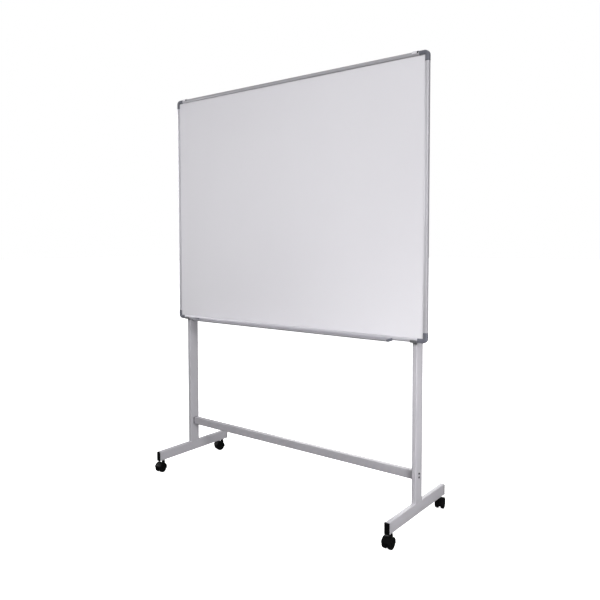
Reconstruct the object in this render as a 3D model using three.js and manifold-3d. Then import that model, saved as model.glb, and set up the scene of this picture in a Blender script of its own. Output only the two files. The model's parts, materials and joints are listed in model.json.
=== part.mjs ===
// A rolling whiteboard: a framed dry-erase panel fixed to a welded and bolted
// steel tube stand on four twin-wheel swivel casters.
// Frame: millimetres, +Z up, +X to the right and -Y towards the writer.
// Origin: on the floor, midway between the two uprights.

import * as THREE from "three";
import { mergeVertices } from "three/addons/utils/BufferGeometryUtils.js";
import Module from "manifold-3d";

const wasm = await Module();
wasm.setup();

// ---------------------------------------------------------------- dimensions

// Board
const BOARD_W = 1500; // outer width of the aluminium frame
const BOARD_H = 1200; // outer height of the aluminium frame
const BOARD_Z = 805; // height of the frame's lower edge
const BACK_Y = -30; // plane of the frame's back, against the uprights
const FRAME_FACE = 18; // width of the frame seen from the front
const FRAME_CREST = 14.2; // thickness of the frame at its crown
const CAP_LEG = 44; // length of each leg of a corner cap
const CAP_PROUD = 0.6; // how far a cap stands outside the frame
const CAP_RADIUS = 22; // outer corner radius of the board
const CAP_CREST = 14.7; // thickness of a cap

// Panel, as depths in front of the frame's back plane
const PANEL_INSET = 2.2;
const BACK_SHEET = [1.5, 1.9];
const CORE = [1.95, 8.45];
const FRONT_SHEET = [8.5, 9.1];

// Stand
const POST_X = 688; // uprights' and feet's centre planes
const POST_W = 20;
const POST_D = 60;
const POST_TOP = 2003;
const WALL = 1.5;
const FOOT_H = 50;
const FOOT_Z = 60; // underside of the feet
const FOOT_LEN = 522; // over the end plugs
const PLUG_T = 3;
const BAR_H = 38;
const BAR_D = 25;
const BAR_Z = 227.5; // centre of the crossbar
const BAR_PLUG = 9; // visible length of the crossbar's end block
const BOLT_PITCH = 16.6;

// Tray
const TRAY_HALF = 592;
const TRAY_CAP_T = 2.6;

// Brackets
const CLIP_W = 28;
const TAB_W = 18;
const RIVET_DX = 9; // lower rivets stand this far inboard of the uprights' centres
const HOOK_RIGHT = 17.5; // the hooks reach this far to the right of the uprights' centres
const HOOK_RIVET_X = 13.2; // and their rivets stand this far to the right

// Casters
const STEM_Y = 227;
const TRAIL = 19.5;
const WHEEL_R = 24; // to the flats
const WHEEL_SEG = 24;
const WHEEL_IN = 5.4; // inner face of each wheel from the caster's middle plane
const WHEEL_OUT = 20.0; // outer face
const HOOD_R = 27.0;
const HOOD_CLEAR = 25.3;
// Direction in which each caster trails from its stem, in degrees from +X
const TRAIL_ANGLE = {
  front_right: -90,
  rear_right: 102,
  front_left: -84,
  rear_left: -108,
};

// ------------------------------------------------------------------- helpers

const V = (x, y, z) => new THREE.Vector3(x, y, z);

function solid(geometry) {
  const g = geometry.index ? geometry.toNonIndexed() : geometry.clone();
  for (const key of Object.keys(g.attributes)) if (key !== "position") g.deleteAttribute(key);
  const m = mergeVertices(g, 1e-4);
  return new wasm.Manifold(
    new wasm.Mesh({
      numProp: 3,
      vertProperties: new Float32Array(m.attributes.position.array),
      triVerts: new Uint32Array(m.index.array),
    }),
  );
}

function geometryOf(manifold) {
  const m = manifold.getMesh();
  const g = new THREE.BufferGeometry();
  const pos = new Float32Array(m.numVert * 3);
  for (let i = 0; i < m.numVert; i++)
    for (let k = 0; k < 3; k++) pos[3 * i + k] = m.vertProperties[i * m.numProp + k];
  g.setAttribute("position", new THREE.BufferAttribute(pos, 3));
  g.setIndex(new THREE.BufferAttribute(new Uint32Array(m.triVerts), 1));
  const flat = g.toNonIndexed();
  flat.computeVertexNormals();
  return flat;
}

// Moves a geometry so that its x, y and z axes lie along ex, ey and ex x ey.
function place(geometry, ex, ey, origin) {
  const ez = ex.clone().cross(ey);
  const m = new THREE.Matrix4().makeBasis(ex, ey, ez).setPosition(origin);
  return geometry.applyMatrix4(m);
}

function shapeOf(points) {
  return new THREE.Shape(points.map(([x, y]) => new THREE.Vector2(x, y)));
}

// Outline of a rectangle with rounded corners, centred on (cx, cy)
function roundRect(w, h, r, seg = 3, cx = 0, cy = 0) {
  const out = [];
  const corners = [
    [w / 2 - r, h / 2 - r, 0],
    [-w / 2 + r, h / 2 - r, 90],
    [-w / 2 + r, -h / 2 + r, 180],
    [w / 2 - r, -h / 2 + r, 270],
  ];
  for (const [x, y, a0] of corners)
    for (let i = 0; i <= seg; i++) {
      const a = THREE.MathUtils.degToRad(a0 + (90 * i) / seg);
      out.push([cx + x + r * Math.cos(a), cy + y + r * Math.sin(a)]);
    }
  return out;
}

function extrude(outline, depth, options = {}) {
  const shape = shapeOf(outline);
  for (const hole of options.holes ?? []) shape.holes.push(new THREE.Path(hole.map(([x, y]) => new THREE.Vector2(x, y))));
  return new THREE.ExtrudeGeometry(shape, {
    depth,
    steps: 1,
    bevelEnabled: Boolean(options.bevel),
    bevelThickness: options.bevel ?? 0,
    bevelSize: options.bevel ?? 0,
    bevelOffset: options.bevel ? -options.bevel : 0,
    bevelSegments: options.bevelSegments ?? 2,
    curveSegments: 4,
  });
}

// A box from its two corners
function box(x0, y0, z0, x1, y1, z1) {
  const g = new THREE.BoxGeometry(x1 - x0, y1 - y0, z1 - z0);
  g.translate((x0 + x1) / 2, (y0 + y1) / 2, (z0 + z1) / 2);
  return g;
}

// A cylinder of radius r between two points on a line along x, y or z
function rod(axis, r, from, to, at, seg = 16) {
  const g = new THREE.CylinderGeometry(r, r, to - from, seg);
  if (axis === "x") g.rotateZ(-Math.PI / 2);
  if (axis === "z") g.rotateX(Math.PI / 2);
  const mid = (from + to) / 2;
  if (axis === "x") g.translate(mid, at[0], at[1]);
  if (axis === "y") g.translate(at[0], mid, at[1]);
  if (axis === "z") g.translate(at[0], at[1], mid);
  return g;
}

// A straight tube of rectangular section; the section is given in (u, v)
function tube(w, h, length, r = 2.5) {
  return extrude(roundRect(w, h, r), length, {
    holes: [roundRect(w - 2 * WALL, h - 2 * WALL, Math.max(r - WALL, 0.6), 2)],
  });
}

const finish = {
  enamel: { color: 0xf2f1f4, roughness: 0.22, metalness: 0.0 },
  fibreboard: { color: 0xa9865c, roughness: 0.9, metalness: 0.0 },
  galvanised: { color: 0xa6a9ac, roughness: 0.5, metalness: 0.8 },
  anodised: { color: 0xb4b5ba, roughness: 0.38, metalness: 0.85 },
  capPlastic: { color: 0x6b6c72, roughness: 0.5, metalness: 0.0 },
  paint: { color: 0xbdbbc0, roughness: 0.5, metalness: 0.1 },
  zinc: { color: 0x8d8e93, roughness: 0.45, metalness: 0.7 },
  blackPlastic: { color: 0x0b0b0c, roughness: 0.55, metalness: 0.0 },
  blackSteel: { color: 0x17171a, roughness: 0.4, metalness: 0.7 },
  tyre: { color: 0x0e0e0f, roughness: 0.75, metalness: 0.0 },
  steel: { color: 0x9a9ca0, roughness: 0.3, metalness: 0.95 },
};

const whiteboard = new THREE.Group();

function add(name, geometry, look, parent = whiteboard) {
  const mesh = new THREE.Mesh(geometry, new THREE.MeshStandardMaterial(finish[look]));
  mesh.name = name;
  parent.add(mesh);
  return mesh;
}

// --------------------------------------------------------------------- board

const HALF_W = BOARD_W / 2;
const BOARD_TOP = BOARD_Z + BOARD_H;
const MID_Z = BOARD_Z + BOARD_H / 2;

// Frame extrusion, as (inwards from the outer edge, forwards from the back):
// an outer wall, a crowned front with a chamber behind it, and a back flange
// that closes on the panel's edge.
const FRAME_PROFILE = [
  [0, 0],
  [0, 10.4],
  [0.5, 12.0],
  [1.8, 13.2],
  [4.6, 13.95],
  [9.0, FRAME_CREST],
  [13.4, 13.75],
  [16.4, 12.6],
  [17.6, 11.2],
  [FRAME_FACE, 9.6],
  [FRAME_FACE, 9.2],
  [14.6, 9.2],
  [14.2, 12.3],
  [8.0, 12.75],
  [3.2, 12.3],
  [1.4, 10.4],
  [1.4, 1.4],
  [12.0, 1.4],
  [12.0, 0],
];
const BAR_GAP = 0.3;
const H_LEN = BOARD_W - 2 * (CAP_LEG + BAR_GAP);
const V_LEN = BOARD_H - 2 * (CAP_LEG + BAR_GAP);
const FWD = V(0, -1, 0);

const RIVET_TOP_Z = BOARD_TOP - 4.6;
const RIVET_LOW_Z = BOARD_Z + 5.5;
const topRivet = (sx) => [sx * POST_X + HOOK_RIVET_X, RIVET_TOP_Z];
const lowRivet = (sx) => [sx * (POST_X - RIVET_DX), RIVET_LOW_Z];
const rivetHole = (at) => solid(rod("y", 1.9, -52, -36, at, 12));

const frameTop = solid(place(extrude(FRAME_PROFILE, H_LEN), V(0, 0, -1), FWD, V(H_LEN / 2, BACK_Y, BOARD_TOP)))
  .subtract(rivetHole(topRivet(-1)))
  .subtract(rivetHole(topRivet(1)));
add("frame_top", geometryOf(frameTop), "anodised");
const frameBottom = solid(place(extrude(FRAME_PROFILE, H_LEN), V(0, 0, 1), FWD, V(-H_LEN / 2, BACK_Y, BOARD_Z)))
  .subtract(rivetHole(lowRivet(-1)))
  .subtract(rivetHole(lowRivet(1)));
add("frame_bottom", geometryOf(frameBottom), "anodised");
add("frame_left", place(extrude(FRAME_PROFILE, V_LEN), V(1, 0, 0), FWD, V(-HALF_W, BACK_Y, MID_Z + V_LEN / 2)), "anodised");
add("frame_right", place(extrude(FRAME_PROFILE, V_LEN), V(-1, 0, 0), FWD, V(HALF_W, BACK_Y, MID_Z - V_LEN / 2)), "anodised");

// Panel: enamelled steel sheet, fibreboard core and galvanised backing sheet
function sheet(span, inset, radius) {
  const g = extrude(roundRect(BOARD_W - 2 * inset, BOARD_H - 2 * inset, radius, 5), span[1] - span[0]);
  return place(g, V(1, 0, 0), V(0, 0, 1), V(0, BACK_Y - span[0], MID_Z));
}
const PANEL_R = CAP_RADIUS - PANEL_INSET;
// The enamelled sheet is pressed slightly thinner where the frame's lip holds it
const OPEN = FRAME_FACE + 0.6;
const open = box(
  -HALF_W + OPEN, BACK_Y - FRONT_SHEET[1], BOARD_Z + OPEN,
  HALF_W - OPEN, BACK_Y - FRONT_SHEET[0] - 0.2, BOARD_TOP - OPEN,
);
const face = solid(sheet([FRONT_SHEET[0], FRONT_SHEET[1] - 0.05], PANEL_INSET, PANEL_R)).add(solid(open));
add("writing_surface", geometryOf(face), "enamel");
add("board_core", sheet(CORE, PANEL_INSET, PANEL_R), "fibreboard");
add("back_panel", sheet(BACK_SHEET, PANEL_INSET, PANEL_R), "galvanised");

// Corner caps: an L with a rounded outer corner, a pocket for the panel and a
// tongue into the chamber of each of the two frame bars that meet there
const panelPocket = solid(sheet([1.2, 9.4], PANEL_INSET - 0.3, PANEL_R + 0.3));
function cornerCap(name, sx, sz) {
  const at = (p, q) => [sx * (HALF_W - p), sz * (BOARD_H / 2 - q)];
  const outline = [at(CAP_LEG, -CAP_PROUD), at(CAP_LEG, FRAME_FACE), at(FRAME_FACE, FRAME_FACE), at(FRAME_FACE, CAP_LEG), at(-CAP_PROUD, CAP_LEG)];
  const R = CAP_RADIUS + CAP_PROUD;
  for (let i = 0; i <= 8; i++) {
    const a = ((Math.PI / 2) * i) / 8;
    outline.push(at(CAP_RADIUS - R * Math.cos(a), CAP_RADIUS - R * Math.sin(a)));
  }
  const bevel = 1.6;
  const body = place(extrude(outline, CAP_CREST - 2 * bevel, { bevel, bevelSegments: 3 }), V(1, 0, 0), V(0, 0, 1), V(0, BACK_Y - bevel, MID_Z));
  const tongue = (p0, q0, p1, q1) => {
    const [xa, za] = at(p0, q0);
    const [xb, zb] = at(p1, q1);
    return solid(
      box(Math.min(xa, xb), BACK_Y - 11.8, MID_Z + Math.min(za, zb), Math.max(xa, xb), BACK_Y - 9.7, MID_Z + Math.max(za, zb)),
    );
  };
  const made = solid(body)
    .subtract(panelPocket)
    .add(tongue(38, 4, 60, 13.4))
    .add(tongue(4, 38, 13.4, 60));
  add(name, geometryOf(made), "capPlastic");
}
cornerCap("corner_cap_top_left", -1, 1);
cornerCap("corner_cap_top_right", 1, 1);
cornerCap("corner_cap_bottom_left", -1, -1);
cornerCap("corner_cap_bottom_right", 1, -1);

// ------------------------------------------------------------------ pen tray

// Section as (forwards from the frame's back plane, up from its lower edge)
const TRAY_PROFILE = [
  [3, -0.05],
  [3, -1.6],
  [50, -1.6],
  [56, -1.1],
  [60, 0.6],
  [62.6, 3.6],
  [63.4, 7.2],
  [63.0, 8.4],
  [62.0, 8.8],
  [61.2, 8.2],
  [60.8, 5.2],
  [58.8, 2.2],
  [55.6, 0.3],
  [50, -0.15],
  [14.7, -0.15],
  [14.6, -0.05],
];
const trayBody = place(
  extrude(TRAY_PROFILE, 2 * (TRAY_HALF - TRAY_CAP_T - 0.1)),
  FWD,
  V(0, 0, 1),
  V(TRAY_HALF - TRAY_CAP_T - 0.1, BACK_Y, BOARD_Z),
);
add("pen_tray", trayBody, "anodised");
const TRAY_CAP_OUTLINE = [
  [14.9, 9.5],
  [14.9, -0.1],
  [22, -2.4],
  [50, -2.4],
  [56.4, -1.9],
  [61, 0.0],
  [63.8, 3.4],
  [64.6, 7.4],
  [64.0, 9.2],
  [61.8, 9.8],
  [58, 10.0],
  [22, 10.6],
];
for (const [name, x0] of [
  ["pen_tray_cap_left", -TRAY_HALF + TRAY_CAP_T],
  ["pen_tray_cap_right", TRAY_HALF],
]) {
  const cap = extrude(TRAY_CAP_OUTLINE, TRAY_CAP_T);
  add(name, place(cap, FWD, V(0, 0, 1), V(x0, BACK_Y, BOARD_Z)), "capPlastic");
}

// --------------------------------------------------------------------- stand

const BOLT_Z = [BAR_Z - BOLT_PITCH / 2, BAR_Z + BOLT_PITCH / 2];
for (const [side, sx] of [
  ["left", -1],
  ["right", 1],
]) {
  const X = sx * POST_X;

  // Upright, welded to the top of its foot, with bolt holes for the crossbar
  const postLen = POST_TOP - 2 - (FOOT_Z + FOOT_H);
  let post = solid(tube(POST_W, POST_D, postLen).translate(X, 0, FOOT_Z + FOOT_H));
  for (const z of BOLT_Z) post = post.subtract(solid(rod("x", 3.1, X - 12, X + 12, [0, z], 12)));
  add("upright_" + side, geometryOf(post), "paint");

  // Cap in the upright's open top
  const topCap = solid(extrude(roundRect(POST_W, POST_D, 2.5), 2).translate(X, 0, POST_TOP - 2)).add(
    solid(extrude(roundRect(POST_W - 2 * WALL - 0.4, POST_D - 2 * WALL - 0.4, 1), 14.5).translate(X, 0, POST_TOP - 16)),
  );
  add("upright_cap_" + side, geometryOf(topCap), "capPlastic");

  // Foot with a threaded boss over each caster
  const footLen = FOOT_LEN - 2 * PLUG_T;
  const yUp = place(tube(POST_W, FOOT_H, footLen), V(1, 0, 0), V(0, 0, 1), V(X, footLen / 2, FOOT_Z + FOOT_H / 2));
  let foot = solid(yUp);
  for (const sy of [-1, 1]) {
    foot = foot.add(solid(rod("z", 8, FOOT_Z + 1, FOOT_Z + 16, [X, sy * STEM_Y], 16)));
    foot = foot.subtract(solid(rod("z", 4.3, FOOT_Z - 1, FOOT_Z + 18, [X, sy * STEM_Y], 16)));
  }
  add("foot_" + side, geometryOf(foot), "paint");

  // End plugs
  for (const [end, sy] of [
    ["front", -1],
    ["rear", 1],
  ]) {
    const y0 = sy > 0 ? FOOT_LEN / 2 : -FOOT_LEN / 2 + PLUG_T;
    const face = place(extrude(roundRect(POST_W, FOOT_H, 2.5), PLUG_T), V(1, 0, 0), V(0, 0, 1), V(X, y0, FOOT_Z + FOOT_H / 2));
    const yIn = sy > 0 ? FOOT_LEN / 2 - PLUG_T + 0.5 : -FOOT_LEN / 2 + PLUG_T - 0.5 + 9.5;
    const insert = place(
      extrude(roundRect(POST_W - 2 * WALL - 0.4, FOOT_H - 2 * WALL - 0.4, 1), 9.5),
      V(1, 0, 0),
      V(0, 0, 1),
      V(X, yIn, FOOT_Z + FOOT_H / 2),
    );
    add("foot_plug_" + end + "_" + side, geometryOf(solid(face).add(solid(insert))), "blackPlastic");
  }

  // Block in the crossbar's end, drilled for two bolts
  const inner = POST_X - POST_W / 2; // inner face of the upright
  const along = V(0, 1, 0);
  const upz = V(0, 0, 1);
  const secn = (w, h, len, x0) => place(extrude(roundRect(w, h, 1.6, 2), len), along, upz, V(x0, 0, BAR_Z));
  const collar0 = sx > 0 ? inner - BAR_PLUG : -inner;
  const insert0 = sx > 0 ? inner - BAR_PLUG - 16 : -inner + BAR_PLUG - 0.5;
  let block = solid(secn(BAR_D - 1.4, BAR_H - 1.4, BAR_PLUG, collar0)).add(
    solid(secn(BAR_D - 2 * WALL - 0.4, BAR_H - 2 * WALL - 0.4, 16.5, insert0)),
  );
  for (const z of BOLT_Z) {
    const a = sx > 0 ? inner - 20 : -inner - 1;
    block = block.subtract(solid(rod("x", 3.1, a, a + 21, [0, z], 12)));
  }
  add("crossbar_end_" + side, geometryOf(block), "zinc");

  // Button-head bolts through the upright into the block
  BOLT_Z.forEach((z, i) => {
    const outer = POST_X + POST_W / 2;
    const dome = new THREE.LatheGeometry(
      [
        [0, 0],
        [2.7, 0],
        [2.7, 36],
        [4.9, 36],
        [4.9, 36.8],
        [4.0, 38.2],
        [2.1, 38.9],
        [0, 39],
      ].map(([r, y]) => new THREE.Vector2(r, y)),
      14,
    );
    if (sx > 0) dome.rotateZ(-Math.PI / 2);
    else dome.rotateZ(Math.PI / 2);
    dome.translate(sx * (outer - 36 + 0.05), 0, z);
    add("crossbar_bolt_" + (i ? "upper" : "lower") + "_" + side, dome, "blackSteel");
  });

  // Hook over the frame's top, welded to the upright's head
  const hookLip = [
    [14.5, -9.5],
    [16.4, -9.5],
    [16.4, 2.0],
    [0, 2.0],
    [0, 0.1],
    [14.5, 0.1],
  ];
  const hookTab = [
    [-0.1, 0.1],
    [-0.1, 2.0],
    [-52, 2.0],
    [-52, -1.9],
    [-50, -1.9],
    [-50, 0.1],
  ];
  const strap = (profile, width, right, z) => solid(place(extrude(profile, width), FWD, V(0, 0, 1), V(X + right, BACK_Y, z)));
  const clip = (profile, width, z) => strap(profile, width, width / 2, z);
  const hook = strap(hookLip, CLIP_W / 2 + HOOK_RIGHT, HOOK_RIGHT, BOARD_TOP)
    .add(clip([[-0.5, 0.1], [-0.5, 2.0], [0.5, 2.0], [0.5, 0.1]], TAB_W, BOARD_TOP))
    .add(clip([[-0.4, 0.1], [-0.4, 2.0], [-52, 2.0], [-52, -1.9], [-0.4, -1.9]], TAB_W, BOARD_TOP))
    .subtract(rivetHole(topRivet(sx)));
  add("top_hook_" + side, geometryOf(hook), "paint");

  // Clip under the frame's lower edge, welded to the upright's front
  const low = clip([[14.5, 10.2], [16.4, 10.2], [16.4, -2.2], [1.5, -2.2], [1.5, -0.2], [14.5, -0.2]], CLIP_W, BOARD_Z)
    .add(clip([[2.0, -0.2], [0.1, -0.2], [0.1, -9.5], [2.1, -9.5], [2.1, -0.2]], TAB_W, BOARD_Z))
    .subtract(rivetHole(lowRivet(sx)));
  add("bottom_clip_" + side, geometryOf(low), "zinc");

  // Rivets through the clips into the frame
  for (const [name, [x, z], shank, look] of [
    ["top_hook_rivet_" + side, topRivet(sx), 4.3, "blackSteel"],
    ["bottom_clip_rivet_" + side, lowRivet(sx), 6.5, "zinc"],
  ]) {
    const g = new THREE.LatheGeometry(
      [
        [0, 0],
        [1.6, 0],
        [1.6, shank],
        [3.1, shank],
        [2.9, shank + 0.9],
        [1.6, shank + 1.6],
        [0, shank + 1.8],
      ].map(([r, y]) => new THREE.Vector2(r, y)),
      12,
    );
    g.rotateX(Math.PI); // the head faces -Y
    g.translate(x, BACK_Y - 16.45 + shank, z);
    add(name, g, look);
  }
}

// Crossbar between the two end blocks
const crossLen = 2 * (POST_X - POST_W / 2 - BAR_PLUG);
add("crossbar", place(tube(BAR_D, BAR_H, crossLen, 2.2), V(0, 1, 0), V(0, 0, 1), V(-crossLen / 2, 0, BAR_Z)), "paint");

// ------------------------------------------------------------------- casters

// In a caster's own frame the stem is at x = 0, and it trails along +x;
// the wheels turn about y, WHEEL_R above the floor.
const R_CORNER = WHEEL_R / Math.cos(Math.PI / WHEEL_SEG);

function wheelGeometry(sign) {
  const profile = [
    [0, WHEEL_OUT - 2.0],
    [17.6, WHEEL_OUT - 2.0],
    [19.2, WHEEL_OUT],
    [R_CORNER - 1.4, WHEEL_OUT - 0.1],
    [R_CORNER, WHEEL_OUT - 2.4],
    [R_CORNER, WHEEL_IN + 1.5],
    [R_CORNER - 1.5, WHEEL_IN],
    [3.4, WHEEL_IN],
    [3.4, WHEEL_OUT - 5],
    [0, WHEEL_OUT - 5],
  ].map(([r, y]) => new THREE.Vector2(r, y));
  // The lathe starts half a segment round, so that a flat faces the floor.
  const g = new THREE.LatheGeometry(profile.reverse(), WHEEL_SEG, Math.PI / WHEEL_SEG);
  if (sign < 0) g.rotateX(Math.PI);
  return g.translate(TRAIL, 0, WHEEL_R);
}

function housingSolid() {
  const arc = (r, a0, a1, n) =>
    Array.from({ length: n + 1 }, (_, i) => {
      const a = THREE.MathUtils.degToRad(a0 + ((a1 - a0) * i) / n);
      return [TRAIL + r * Math.cos(a), WHEEL_R + r * Math.sin(a)];
    });
  const plate = (outline, half) => solid(place(extrude(outline, 2 * half), V(1, 0, 0), V(0, 0, 1), V(0, half, 0)));
  const A0 = 12;
  const A1 = 196;
  // Hood over both wheels
  const hood = plate([...arc(HOOD_R, A0, A1, 16), ...arc(HOOD_CLEAR, A1, A0, 16)], 19.2);
  // Web between the wheels, from the hood down to the axle
  const web = plate([...arc(HOOD_R - 0.5, A0, A1, 16), [TRAIL - 5, WHEEL_R - 6], [TRAIL, WHEEL_R - 7.4], [TRAIL + 5, WHEEL_R - 6]], WHEEL_IN - 0.7);
  // Socket for the stem, kept clear of the wheels
  const boss = solid(
    new THREE.CylinderGeometry(8.4, 9.6, 26.5, 20).rotateX(Math.PI / 2).translate(0, 0, 42.25),
  ).subtract(solid(new THREE.CylinderGeometry(HOOD_CLEAR, HOOD_CLEAR, 60, 40).translate(TRAIL, 0, WHEEL_R)));
  return hood
    .add(web)
    .add(boss)
    .subtract(solid(rod("z", 3.9, 31, 60, [0, 0], 16)))
    .subtract(solid(rod("y", 3.15, -10, 10, [TRAIL, WHEEL_R], 14)));
}
const housing = housingSolid();

for (const [corner, sx, sy] of [
  ["front_right", 1, -1],
  ["rear_right", 1, 1],
  ["front_left", -1, -1],
  ["rear_left", -1, 1],
]) {
  // Stem: a pin in the housing's socket, a collar under the foot, and a thread
  // in the foot's boss
  const stem = new THREE.LatheGeometry(
    [
      [0, 32],
      [3.6, 32],
      [3.6, 55.9],
      [8.2, 55.9],
      [8.2, FOOT_Z - 0.3],
      [4.0, FOOT_Z - 0.3],
      [4.0, FOOT_Z + 15.4],
      [0, FOOT_Z + 15.4],
    ].map(([r, z]) => new THREE.Vector2(r, z)),
    12,
  ).rotateX(Math.PI / 2);
  stem.translate(sx * POST_X, sy * STEM_Y, 0);
  add("caster_stem_" + corner, stem, "blackSteel");

  const caster = new THREE.Group();
  caster.position.set(sx * POST_X, sy * STEM_Y, 0);
  caster.rotation.z = THREE.MathUtils.degToRad(TRAIL_ANGLE[corner]);
  whiteboard.add(caster);
  add("caster_housing_" + corner, geometryOf(housing), "blackPlastic", caster);
  add("caster_axle_" + corner, rod("y", 3, -14.7, 14.7, [TRAIL, WHEEL_R], 14), "steel", caster);
  add("caster_wheel_a_" + corner, wheelGeometry(1), "tyre", caster);
  add("caster_wheel_b_" + corner, wheelGeometry(-1), "tyre", caster);
}

export default whiteboard;
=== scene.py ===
import json
import math

import bmesh
import bpy
from mathutils import Matrix, Vector


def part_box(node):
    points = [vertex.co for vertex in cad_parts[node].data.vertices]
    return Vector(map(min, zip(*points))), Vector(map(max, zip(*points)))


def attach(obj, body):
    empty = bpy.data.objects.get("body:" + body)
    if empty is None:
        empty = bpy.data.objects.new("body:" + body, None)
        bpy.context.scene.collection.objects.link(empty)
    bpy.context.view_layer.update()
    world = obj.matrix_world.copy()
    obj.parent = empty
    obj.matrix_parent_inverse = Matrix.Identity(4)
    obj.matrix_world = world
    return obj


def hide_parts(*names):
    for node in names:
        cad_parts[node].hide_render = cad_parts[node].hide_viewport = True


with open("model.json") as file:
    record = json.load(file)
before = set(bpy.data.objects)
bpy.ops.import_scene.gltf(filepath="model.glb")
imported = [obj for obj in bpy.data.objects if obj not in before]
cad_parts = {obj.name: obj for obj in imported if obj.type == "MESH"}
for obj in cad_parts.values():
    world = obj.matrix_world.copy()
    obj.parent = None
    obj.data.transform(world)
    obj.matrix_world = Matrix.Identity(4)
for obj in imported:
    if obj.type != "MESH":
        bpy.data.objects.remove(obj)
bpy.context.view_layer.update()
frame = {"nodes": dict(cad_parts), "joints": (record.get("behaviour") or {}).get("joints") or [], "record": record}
record = frame["record"]
MM = 0.001


# --------------------------------------------------------------------------
# Camera
# --------------------------------------------------------------------------
def make_camera():
    yaw, pitch, roll = (math.radians(a) for a in (38.823, -2.868, -0.21))
    forward = Vector((-math.sin(yaw) * math.cos(pitch), math.cos(yaw) * math.cos(pitch), math.sin(pitch)))
    right = Vector((math.cos(yaw), math.sin(yaw), 0.0))
    up = right.cross(forward)
    r2 = right * math.cos(roll) + up * math.sin(roll)
    u2 = -right * math.sin(roll) + up * math.cos(roll)
    m = Matrix((
        (r2.x, u2.x, -forward.x, 1.8988),
        (r2.y, u2.y, -forward.y, -2.4462),
        (r2.z, u2.z, -forward.z, 1.2291),
        (0, 0, 0, 1),
    ))
    data = bpy.data.cameras.new("camera")
    data.sensor_width = 36.0
    data.lens = 631.97 * 36.0 / 600.0
    data.shift_x = (300.0 - 278.51) / 600.0
    data.shift_y = (273.38 - 300.0) / 600.0
    data.clip_start = 0.05
    data.clip_end = 200
    cam = bpy.data.objects.new("camera", data)
    cam.matrix_world = m
    bpy.context.scene.collection.objects.link(cam)
    bpy.context.scene.camera = cam


make_camera()


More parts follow.
